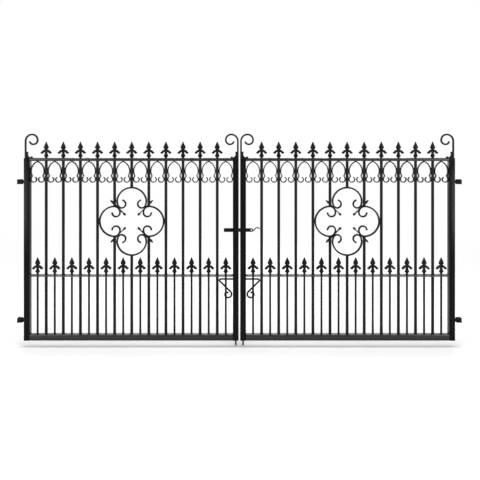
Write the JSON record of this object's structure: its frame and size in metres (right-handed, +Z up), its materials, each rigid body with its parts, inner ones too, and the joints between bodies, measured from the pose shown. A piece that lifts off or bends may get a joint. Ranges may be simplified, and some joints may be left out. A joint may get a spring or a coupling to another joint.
{
  "type": "wrought iron driveway gate",
  "caption": "Pair of wrought iron driveway gates: round bars with spear finials, hooped heads, a quatrefoil in each leaf, side hinges, slide latch and drop bolts.",
  "frame": {"origin": "centre of the post face of the lower left hinge bracket", "axes": "+X along the shut gates from the left post to the right one, +Y through them from the road side to the drive side, +Z up"},
  "size_m": [3.048, 0.064, 1.4663],
  "materials": {
    "frame_black": "satin black paint on square steel tube and flat bar",
    "bars_black": "satin black paint on round steel bar",
    "scrollwork_black": "satin black paint on bent flat bar",
    "cast_iron_black": "satin black paint over a cast surface",
    "fittings_black": "satin black paint on steel bar",
    "hinge_steel_black": "satin black paint on turned and cut steel"
  },
  "bodies": {
    "left_leaf": {"latch_sleeve": "fittings_black", "left_bolt_guides": "fittings_black", "left_bottom_rail": "frame_black", "left_corner_leaves": "cast_iron_black", "left_dog_bars": "bars_black", "left_hinge_eyes": "hinge_steel_black", "left_hinge_stile": "frame_black", "left_hoops": "scrollwork_black", "left_lower_finials": "cast_iron_black", "left_main_bars": "bars_black", "left_meeting_stile": "frame_black", "left_mid_rail": "frame_black", "left_quatrefoil": "scrollwork_black", "left_stile_scrolls": "scrollwork_black", "left_top_rail": "frame_black", "left_upper_finials": "cast_iron_black"},
    "left_drop_bolt": {"left_drop_bolt": "fittings_black"},
    "post_hinges": {"left_hinge_brackets": "hinge_steel_black", "right_hinge_brackets": "hinge_steel_black"},
    "right_leaf": {"right_bolt_guides": "fittings_black", "right_bottom_rail": "frame_black", "right_corner_leaves": "cast_iron_black", "right_dog_bars": "bars_black", "right_hinge_eyes": "hinge_steel_black", "right_hinge_stile": "frame_black", "right_hoops": "scrollwork_black", "right_lower_finials": "cast_iron_black", "right_main_bars": "bars_black", "right_meeting_stile": "frame_black", "right_mid_rail": "frame_black", "right_quatrefoil": "scrollwork_black", "right_stile_scrolls": "scrollwork_black", "right_top_rail": "frame_black", "right_upper_finials": "cast_iron_black"},
    "right_drop_bolt": {"right_drop_bolt": "fittings_black"},
    "latch": {"slide_latch": "fittings_black"}
  },
  "joints": [
    {"name": "left_leaf_swing", "type": "hinge", "parent": "post_hinges", "child": "left_leaf", "pos_m": [0.022, 0, 0], "axis": [0, 0, 1], "range_deg": [0, 90]},
    {"name": "right_leaf_swing", "type": "hinge", "parent": "post_hinges", "child": "right_leaf", "pos_m": [3.026, 0, 0], "axis": [0, 0, -1], "range_deg": [0, 90]},
    {"name": "left_drop_bolt_lift", "type": "slide", "parent": "left_leaf", "child": "left_drop_bolt", "axis": [0, 0, 1], "range_m": [0, 0.075]},
    {"name": "right_drop_bolt_lift", "type": "slide", "parent": "right_leaf", "child": "right_drop_bolt", "axis": [0, 0, 1], "range_m": [0, 0.075]},
    {"name": "latch_slide", "type": "slide", "parent": "right_leaf", "child": "latch", "axis": [-1, 0, 0], "range_m": [0, 0.05]}
  ]
}
